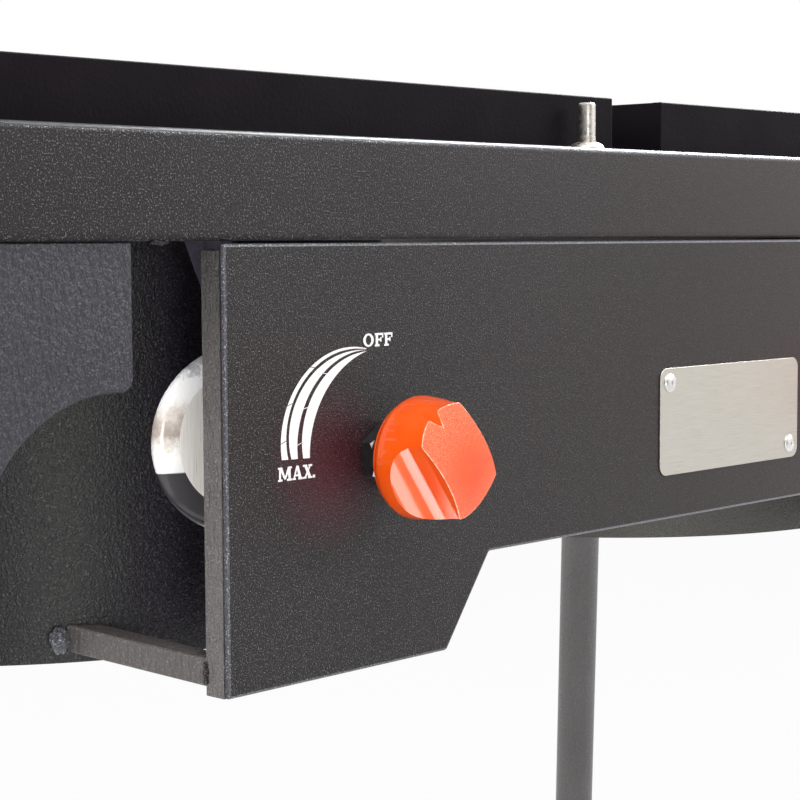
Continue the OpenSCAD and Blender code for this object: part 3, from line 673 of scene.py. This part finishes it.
# the panel's paint turns paler towards the stand's right as painted light
panel_paint = powder_paint("panel powder paint", (0.0100, 0.0090, 0.0096), (0.21, 0.203, 0.203),
                           0.34, 0.00062, 0.00044, 0.005, 0.00006, (1, 1, 1), 0.57, 0.35,
                           far_light_tone=(0.0265, 0.0205, 0.0195), Specular_IOR_Level=0.32,
                           Specular_Tint=(1.0, 0.95, 0.95, 1.0))
# beside each knob the paint carries a painted red reflection of the knob
tree = panel_paint.node_tree
colour = tree.nodes["Principled BSDF"].inputs["Base Color"]
knob_reflection_reach = distance_from(tree, add_node(tree, "TexCoord").outputs["Object"], 0.2330, 0.5610)
tree.links.new(over(tree, between(tree, knob_reflection_reach, 0.006, 0.034, 0.55, 0.0), colour.links[0].from_socket,
                    (0.100, 0.016, 0.026)), colour)
(_, panel_face, panel_bottom), (half, panel_rear, panel_top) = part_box("control_panel")
tab_foot, tab_root, step_z = 0.1205, 0.1475, rail_under - 0.1305
panel = plate("control_panel_sheet",
              [(half, panel_top), (-half, panel_top), (-half, panel_bottom),
               (-half + tab_foot, panel_bottom), (-half + tab_root, step_z), (half - tab_root, step_z),
               (half - tab_foot, panel_bottom), (half, panel_bottom)], panel_face, panel_rear, 0.0013, 1)
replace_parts(panel, "control_panel")
finish_in(panel, panel_paint)
# the sheet's eased rim takes the paler edge paint, a painted highlight
panel.data.materials.append(edge_highlight_paint)
# painted light: the bars and braces take a much paler copy of the frame's paint for the light from the left,
# darkening under the rail as painted shade
lit_bar_paint = powder_paint("lit bar powder paint", (0.118, 0.104, 0.099), (0.26, 0.245, 0.24),
                         0.42, 0.0009, 0.00034, 0.0022, 0.00095, (1.0, 1.0, 0.25), 0.58, 1.0,
                         (0.575, 0.640, 0.6))
# painted shade: a darker, matt copy of the bars' paint for the gusset and the bar's neck
shadow_paint = powder_paint("gusset shade paint", (0.068, 0.057, 0.078), (0.10, 0.094, 0.108), 0.8, 0.0011,
                            0.0001, 0.003, 0.0001, Specular_IOR_Level=0.08)
for side, _ in sides:
    bar = cad_copy("panel_bar_" + side, lit_bar_paint, 0.0015, 3)
    # the thin gusset and the bar's neck under the rail take a darker paint, painted shade under the rail
    normals, centres = face_table(bar)
    gusset = (centres[:, 1] > -0.2046) & (np.abs(normals[:, 0]) > 0.9)
    paint_faces(bar, shadow_paint, gusset | (centres[:, 2] > 0.6446))
cad_copy("panel_braces", lit_bar_paint, 0.0010, 3)
for side, sx in sides:
    weld_lump("brace_weld_" + side, (sx * 0.3086, -0.1446, 0.4953), (0.0042, 0.0032, 0.0050))
    # the gusset's sheared edge carries a painted highlight
    weld_bead("gusset_edge_" + side, [(sx * 0.2820, -0.1949, 0.6476), (sx * 0.2820, -0.2081, 0.6230)],
              0.00035, material=edge_highlight_paint)
    weld_bead("brace_weld_bar_" + side,
              [(sx * 0.2868, -0.2048, 0.4835), (sx * 0.2868, -0.2048, 0.4925)], 0.0012)

# ---------------------------------------------------------------- lock nuts
# Thin hexagon nuts that clamp each valve's neck in the panel, black with shiny corners.
valve_x, valve_z = 0.2045, 0.5640
nut_black = clouded("black nut", 0.28, (400, 3), 0.3, 0.7, (0.014, 0.014, 0.015), (0.04, 0.04, 0.042),
                    (0.00006, 900, 3))
bare = clouded("bare chamfer", 0.3, (500, 3), 0.3, 0.6, (0.66, 0.65, 0.63), (0.92, 0.92, 0.91),
               metallic=0.9)
nuts = cad_copy("lock_nuts", nut_black, corner=20)
normals, centres = face_table(nuts)
off_axis = np.hypot(np.abs(centres[:, 0]) - valve_x, centres[:, 2] - valve_z)
paint_faces(nuts, bare, (normals[:, 1] < -0.3) & (normals[:, 1] > -0.95) & (off_axis > 0.009))

# ---------------------------------------------------------------- knobs
# Moulded in orange-red plastic with a finger scoop on both sides of the grip and a V-shaped
# pointer notch. The mould is polished but for the grip's crowned face, which has a fine grain.
knob_plastic = clouded("orange plastic", 0.17, (90, 2), 0.3, 0.7, (1.0, 0.092, 0.002), (1.0, 0.118, 0.005),
                       (0.00006, 120, 2), Coat_Weight=0.35, Coat_Roughness=0.1, Coat_IOR=1.5)
knob_grain, tree, shader, where = new_material("grained orange plastic", 0.5, Specular_IOR_Level=0.4)
flow = ramp(tree, noise(tree, where, 90, 2), 0.3, 0.7, (0.88, 0.062, 0.007), (0.92, 0.078, 0.010))
# the grain carries a painted sheen: pale glints, few in the middle of the grip and many towards its rim
rim_sheen = between(tree, distance_from(tree, where, 0.2015, 0.5600), 0.004, 0.019, 0.12, 1.0)
grain_glints = between(tree, noise(tree, where, 2500, 2, 0.6), 0.40, 0.66, 0.0, 0.62)
tree.links.new(over(tree, times(tree, grain_glints, rim_sheen), flow, (1.0, 0.36, 0.19)), shader["Base Color"])
roughen(tree, shader, (noise(tree, where, 2500, 3, 0.65), 0.00016))
lip_highlight_plastic = clouded("orange plastic lip highlight", 0.2, (500, 2), 0.3, 0.7, (1.0, 0.26, 0.12), (1.0, 0.62, 0.44))
lit_knobs = bpy.data.collections.new("lit knobs")
knob_spot = (-0.2, -0.25, 0.56)
soft_box("card_low", (-0.35, -0.75, 0.03), knob_spot, (1.1, 0.8), 16, only_gloss=True, lit=lit_knobs)
soft_box("card_under", (-0.42, -0.17, 0.04), knob_spot, (0.42, 0.50), 4.5, only_gloss=True, lit=lit_knobs)
soft_box("box_knobs", (-1.3, -1.0, 1.0), knob_spot, (0.9, 0.9), 4, no_gloss=True, lit=lit_knobs)
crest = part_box("knob_left")[0][1]


def rim_path(mesh, inside):
    """The corners along the border of the faces marked inside, in order, from the corner that
    is farthest to the right and back to it."""
    next_to, marks_of = {}, {}
    for polygon in mesh.polygons:
        for key in polygon.edge_keys:
            marks_of.setdefault(key, []).append(bool(inside[polygon.index]))
    for key, marks in marks_of.items():
        if sum(marks) == 1:
            next_to.setdefault(key[0], []).append(key[1])
            next_to.setdefault(key[1], []).append(key[0])
    path = [max(next_to, key=lambda corner: mesh.vertices[corner].co.x)]
    while next_to[path[-1]]:
        step = next_to[path[-1]].pop()
        next_to[step].remove(path[-1])
        path.append(step)
    return np.array([mesh.vertices[corner].co[:] for corner in path])


for side, _ in sides:
    knob = cad_copy("knob_" + side, knob_plastic, corner=24)
    normals, centres = face_table(knob)
    on_grip = (normals[:, 1] < -0.86) & (centres[:, 1] - crest < 0.0065)
    paint_faces(knob, knob_grain, on_grip)
    lit_knobs.objects.link(knob)
    # the grained face ends in a fine polished lip, pale as a painted highlight
    lip = weld_bead("knob_lip_" + side, rim_path(knob.data, on_grip) + (0, 0.0003, 0), 0.00026,
                    frame["nodes"]["knob_" + side]["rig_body"], lip_highlight_plastic)
    lit_knobs.objects.link(lip)

# ---------------------------------------------------------------- printed scales
# Screen printed in white beside each knob: three stripes that run together towards OFF, with
# fine breaks in the ink, and the two words.
ink = clouded("white ink", 0.55, (1500, 3), 0.2, 0.6, (0.80, 0.79, 0.77), (0.93, 0.93, 0.92))
ink_face = panel_face - 0.00006
scale_z = 0.5646
# outer and inner radii of each stripe at these angles, in millimetres and degrees
stripe_angles = (12, 25, 45, 66, 88.5)
stripe_edges = (
    ((42.3, 46.7, 52.1, 55.7, 54.5), (42.1, 45.3, 51.1, 53.4, 51.2)),
    ((41.8, 44.5, 49.6, 52.1, 49.6), (41.7, 43.7, 46.3, 47.4, 46.2)),
    ((41.2, 42.6, 44.9, 45.4, 43.4), (41.2, 40.9, 40.5, 40.4, 39.9)),
)


def print_on_panel(name, points, faces, material=ink):
    """A flat print: points are rows of x and z in metres and how far it lies off the panel."""
    mesh = bpy.data.meshes.new(name)
    flat = np.asarray(points, float)
    laid = np.stack([flat[:, 0], ink_face - flat[:, 2], flat[:, 1]], -1)
    mesh.from_pydata(laid.tolist(), [], [tuple(int(k) for k in face) for face in faces])
    piece = new_piece(name, mesh)
    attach(piece, "frame")
    return finish_in(piece, material)


def stripe(name, centre_x, outer, inner):
    """A curved stripe on the panel: its outer and inner radii are cubics of the angle, and the
    skin is a grid of angle by radius."""
    angle = np.linspace(stripe_angles[0], stripe_angles[-1], 60)
    out_r = np.polyval(np.polyfit(stripe_angles, outer, 3), angle)
    in_r = np.minimum(np.polyval(np.polyfit(stripe_angles, inner, 3), angle), out_r - 0.05)
    share = np.linspace(0, 1, 3)[None, :]
    radius = (in_r[:, None] * (1 - share) + out_r[:, None] * share) / 1000
    turn = np.radians(angle)[:, None]
    points = np.stack([centre_x - radius * np.sin(turn), scale_z + radius * np.cos(turn),
                       np.zeros_like(radius)], -1).reshape(-1, 3)
    row, column = np.meshgrid(np.arange(59), np.arange(2), indexing="ij")
    first = (row * 3 + column).ravel()
    return print_on_panel(name, points, np.stack([first, first + 1, first + 4, first + 3], 1))


def slanted_lines(name, centre_x, lines, width, off, material):
    """Fine lines on the scale: each runs from one (angle, radius) to another, as a strip of
    the given width."""
    points, faces = [], []
    for line in lines:
        ends = np.array([[centre_x - r * sin(radians(a)) / 1000, scale_z + r * cos(radians(a)) / 1000]
                         for a, r in line])
        along = (ends[1] - ends[0]) / np.linalg.norm(ends[1] - ends[0])
        across = np.array([-along[1], along[0]]) * width / 2000
        first = len(points)
        rim = (ends[0] - across, ends[1] - across, ends[1] + across, ends[0] + across)
        points += [(*p, off) for p in rim]
        faces.append((first, first + 1, first + 2, first + 3))
    return print_on_panel(name, points, faces, material)


# slab letters: each is a list of strokes in a box that is 1 wide and 1 high, a straight one by
# its low and high corner and a slanted one by its four corners
slab_letters = {
    "F": [(.10, 0, .38, 1), (0, 0, .56, .15), (0, .84, 1, 1), (.84, .64, 1, .90), (.38, .43, .74, .58),
          (.64, .34, .78, .68)],
    "M": [(.08, 0, .22, 1), (.74, 0, .92, 1), (0, 0, .32, .14), (.64, 0, 1, .14), (0, .86, .24, 1),
          (.76, .86, 1, 1), (.44, .12, .56, .12, .30, 1, .10, 1), (.44, .12, .56, .12, .90, 1, .72, 1)],
    "A": [(.06, 0, .22, 0, .56, 1, .40, 1), (.66, 0, .94, 0, .62, 1, .38, 1),
          (.24, .24, .76, .24, .72, .38, .28, .38), (0, 0, .34, .14), (.56, 0, 1, .14)],
    "X": [(.62, 0, .94, 0, .40, 1, .08, 1), (.08, 0, .26, 0, .92, 1, .74, 1), (0, .86, .46, 1),
          (.60, .86, 1, 1), (0, 0, .38, .14), (.54, 0, 1, .14)],
    ".": [(.15, 0, .95, .21)],
}


def slab_word(name, letters, low, high):
    """A word in slab letters. Each letter fills its span of x between the heights low and
    high; an O is a ring between two ellipses on a grid of turn by width."""
    points, faces = [], []
    tall = high - low
    for letter, x0, x1 in letters:
        wide = x1 - x0
        if letter == "O":
            for a, b in ((0.26, 0.36), (0.5, 0.5)):
                points += [(x0 + wide * (0.5 + a * cos(t)), low + tall * (0.5 + b * sin(t)), 0)
                           for t in np.linspace(0, 2 * pi, 40, endpoint=False)]
            first = len(points) - 80
            faces += [(first + k, first + 40 + k, first + 40 + (k + 1) % 40, first + (k + 1) % 40)
                      for k in range(40)]
            continue
        for stroke in slab_letters[letter]:
            if len(stroke) == 4:
                left, foot, right, head = stroke
                stroke = (left, foot, right, foot, right, head, left, head)
            first = len(points)
            # strokes that cross lie a few thousandths of a millimetre over each other
            points += [(x0 + wide * px, low + tall * pz, 0.000001 * (first % 60))
                       for px, pz in np.array(stroke).reshape(4, 2)]
            faces.append((first, first + 1, first + 2, first + 3))
    return print_on_panel(name, points, faces)


# each letter's span in millimetres, from the left edge of a field whose middle is the valve
field_middle = 82.5
print_top = 0.648
words = (("off", (("O", 72.06, 77.95), ("F", 78.54, 83.3), ("F", 83.8, 88.5)), 0.0415, 0.0363),
         ("max", (("M", 25.94, 33.1), ("A", 33.3, 38.7), ("X", 38.9, 43.8), (".", 43.8, 45.4)),
          0.0900, 0.0847))
for side, sx in sides:
    middle = sx * valve_x
    for place, (outer, inner) in zip(("outer", "middle", "inner"), stripe_edges):
        stripe(f"scale_stripe_{place}_{side}", middle, outer, inner)
    slanted_lines("scale_breaks_" + side, middle,
                  [((46.2, 51.0), (47.8, 53.0)), ((65.0, 53.2), (67.4, 56.0)), ((80.0, 51.6), (82.4, 55.6))],
                  0.28, 0.00002, panel_paint)
    slanted_lines("scale_links_" + side, middle,
                  [((43.0, 44.6), (45.0, 46.6)), ((63.0, 45.2), (65.4, 47.6)), ((80.0, 43.8), (82.2, 46.8))],
                  0.25, 0.0, ink)
    for word, spans, drop_low, drop_high in words:
        slab_word(f"word_{word}_{side}",
                  [(letter, middle + (a - field_middle) / 1000, middle + (b - field_middle) / 1000)
                   for letter, a, b in spans], print_top - drop_low, print_top - drop_high)

# ---------------------------------------------------------------- nameplate
# Bare brushed stainless steel with round corners, held by two blind rivets at opposite
# corners. The rivets have a low dome with a small hole, whose dark is painted shade.
brushed, tree, shader, where = new_material("brushed stainless", 0.3, 1.0)
lines = noise(tree, where, 60, 3, 0.7, (1, 1, 60))
tree.links.new(ramp(tree, lines, 0.3, 0.7, (0.53, 0.50, 0.44), (0.66, 0.635, 0.58)), shader["Base Color"])
tree.links.new(between(tree, lines, 0.3, 0.7, 0.26, 0.42), shader["Roughness"])
roughen(tree, shader, (lines, 0.00001))
plate_low, plate_high = (np.array(c)[[0, 2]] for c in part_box("nameplate"))
plate_corner = 0.005
turn = np.linspace(0, pi / 2, 9)
arc = plate_corner * np.stack([np.cos(turn), np.sin(turn)], 1)
rounds = [arc, (arc * (-1, 1))[::-1], arc * (-1, -1), (arc * (1, -1))[::-1]]
inner_low, inner_high = plate_low + plate_corner, plate_high - plate_corner
centres = [inner_high, (inner_low[0], inner_high[1]), inner_low, (inner_high[0], inner_low[1])]
name_plate = plate("nameplate_sheet", np.concatenate([r + c for r, c in zip(rounds, centres)]),
                   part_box("nameplate")[0][1], panel_face, 0.0003)
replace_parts(name_plate, "nameplate")
finish_in(name_plate, brushed)


def turned(name, profile, base, along, body="frame", around=48):
    """A turned piece: a profile of (radius, height) pairs swept round the axis that starts at
    base and runs along the unit direction along, on a grid of height by turn."""
    profile = np.asarray(profile, float)
    along = np.asarray(along, float)
    side = np.cross(along, (0.0, 0, 1) if abs(along[2]) < 0.9 else (1.0, 0, 0))
    side /= np.linalg.norm(side)
    rise = np.cross(along, side)
    turn = np.linspace(0, 2 * pi, around, endpoint=False)
    ring = side[None, :] * np.cos(turn)[:, None] + rise[None, :] * np.sin(turn)[:, None]
    points = (np.asarray(base, float) + profile[:, None, 1:2] * along + profile[:, None, 0:1] * ring[None])
    piece = ring_skin(name, points, body, 1e-7)
    piece.data.set_sharp_from_angle(angle=radians(35))
    return piece


rivet_zinc = plated("rivet plating", (0.93, 0.92, 0.90), 0.3)
hole_shade_paint = clouded("rivet hole shade", 0.7, (2000, 2), 0.3, 0.7, (0.30, 0.29, 0.28), (0.42, 0.41, 0.40))
rivet_profile = np.array([(0, -4.8), (2.4, -4.8), (2.6, -3.3), (1.6, -3.3), (1.6, 0), (4.4, 0),
                          (4.4, 0.35), (4.15, 0.7), (3.6, 1.02), (2.6, 1.33), (1.2, 1.55),
                          (0.95, 1.5), (0.8, 1.1), (0, 1.05)]) / 1000
rivets = []
for spot, at_x, at_z in (("upper_left", plate_low[0] + 0.0075, plate_high[1] - 0.007),
                         ("lower_right", plate_high[0] - 0.0073, plate_low[1] + 0.007)):
    seat = (at_x, -0.2178, at_z)
    rivet = finish_in(turned("rivet_" + spot, rivet_profile, seat, (0, -1, 0)), rivet_zinc)
    centres = face_table(rivet)[1]
    off_axis = np.hypot(centres[:, 0] - seat[0], centres[:, 2] - seat[2])
    # painted shade: the hole's floor is painted dark grey
    paint_faces(rivet, hole_shade_paint, (off_axis < 0.00086) & (centres[:, 1] < seat[1]))
    rivets.append(rivet)
for rivet in rivets:
    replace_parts(rivet, "nameplate_rivets")

# ---------------------------------------------------------------- pot grates
# Flat bars on edge, welded into two lift-off grates and painted black; the flame dulls them.
grate_black = clouded("grate paint", 0.6, (30, 5), 0.3, 0.7, (0.005, 0.0032, 0.0050), (0.009, 0.0064, 0.0090),
                      (0.00012, 700, 3), Specular_IOR_Level=0.08)


def bars_on_edge(name, boxes, edge):
    """Square-cut bars as one mesh: each box gives the eight corners of its low and high
    corner, and a bevel of radius edge eases every edge."""
    boxes = np.asarray(boxes, float)
    pick = np.array([(i, j, k) for k in (0, 1) for j in (0, 1) for i in (0, 1)])
    points = np.stack([boxes[:, pick[:, a], a] for a in range(3)], -1).reshape(-1, 3)
    faces_of = np.array([(0, 2, 3, 1), (4, 5, 7, 6), (0, 1, 5, 4), (2, 6, 7, 3), (0, 4, 6, 2), (1, 3, 7, 5)])
    faces = (np.arange(len(boxes))[:, None, None] * 8 + faces_of[None]).reshape(-1, 4)
    mesh = bpy.data.meshes.new(name)
    mesh.from_pydata(points.tolist(), [], faces.tolist())
    mesh.shade_smooth()
    piece = new_piece(name, mesh)
    round_edges(piece, edge, 2)
    return piece


grate_w, grate_d, grate_h, bar = 0.402, 0.378, 0.025, 0.006
hair = 0.0001
for side, sx in sides:
    x0, y0 = sx * burner_x - grate_w / 2, -grate_d / 2
    pitch = (grate_w - bar) / 8
    # the long bars end inside the two end bars and lie a hair below their tops
    long_bars = [x0 + k * pitch for k in range(1, 8)] + [x0 + hair, x0 + grate_w - bar - hair]
    boxes = [[(x, y0 + bar / 2, rail_top + hair),
              (x + bar, y0 + grate_d - bar / 2, rail_top + grate_h - hair)] for x in long_bars]
    boxes += [[(x0, y, rail_top), (x0 + grate_w, y + bar, rail_top + grate_h)] for y in (y0, -y0 - bar)]
    boxes.append([(x0 + bar / 2, -bar / 2, rail_top + hair),
                  (x0 + grate_w - bar / 2, bar / 2, rail_top + grate_h - 0.006)])
    grate = bars_on_edge("pot_grate_bars_" + side, boxes, 0.0007)
    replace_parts(grate, "pot_grate_" + side)
    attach(grate, "grate_" + side)
    finish_in(grate, grate_black)
    for k in range(1, 8):
        at_x = x0 + k * pitch
        for end, y in (("front", y0 + bar), ("rear", -y0 - bar)):
            for face, x in (("left", at_x), ("right", at_x + bar)):
                weld_bead(f"grate_weld_{side}_{k}_{end}_{face}",
                          [(x, y, rail_top + 0.004), (x, y, rail_top + grate_h - 0.002)], 0.0015,
                          "grate_" + side, grate_black)

# ---------------------------------------------------------------- grate studs
# Zinc-plated threaded studs with domed flange nuts on the rails keep the grates from sliding.
thread = [(0, -0.0060), (0.0040, -0.0060), (0.0040, 0.0056)]
for k in range(12):
    thread += [(0.00400, 0.0058 + 0.00125 * k), (0.00382, 0.0064 + 0.00125 * k)]
thread += [(0.0038, 0.0205), (0.0031, 0.0210), (0, 0.0210)]
nut = [(0.00402, 0.0001), (0.0081, 0.0001), (0.0081, 0.0006), (0.0079, 0.0012), (0.0074, 0.0018),
       (0.0066, 0.0025), (0.0058, 0.0029), (0.0050, 0.0032), (0.0044, 0.0034), (0.00402, 0.0034)]
for k, (x, y) in enumerate(((-0.05, -0.198), (0.39, -0.198), (-0.39, 0.198), (0.05, 0.198))):
    for name, profile, node in (("stud", thread, "grate_studs"), ("flange_nut", nut + nut[:1], "stud_nuts")):
        fastener = turned(f"{name}_{k}", profile, (x, y, rail_top), (0, 0, 1))
        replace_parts(finish_in(fastener, zinc), node)
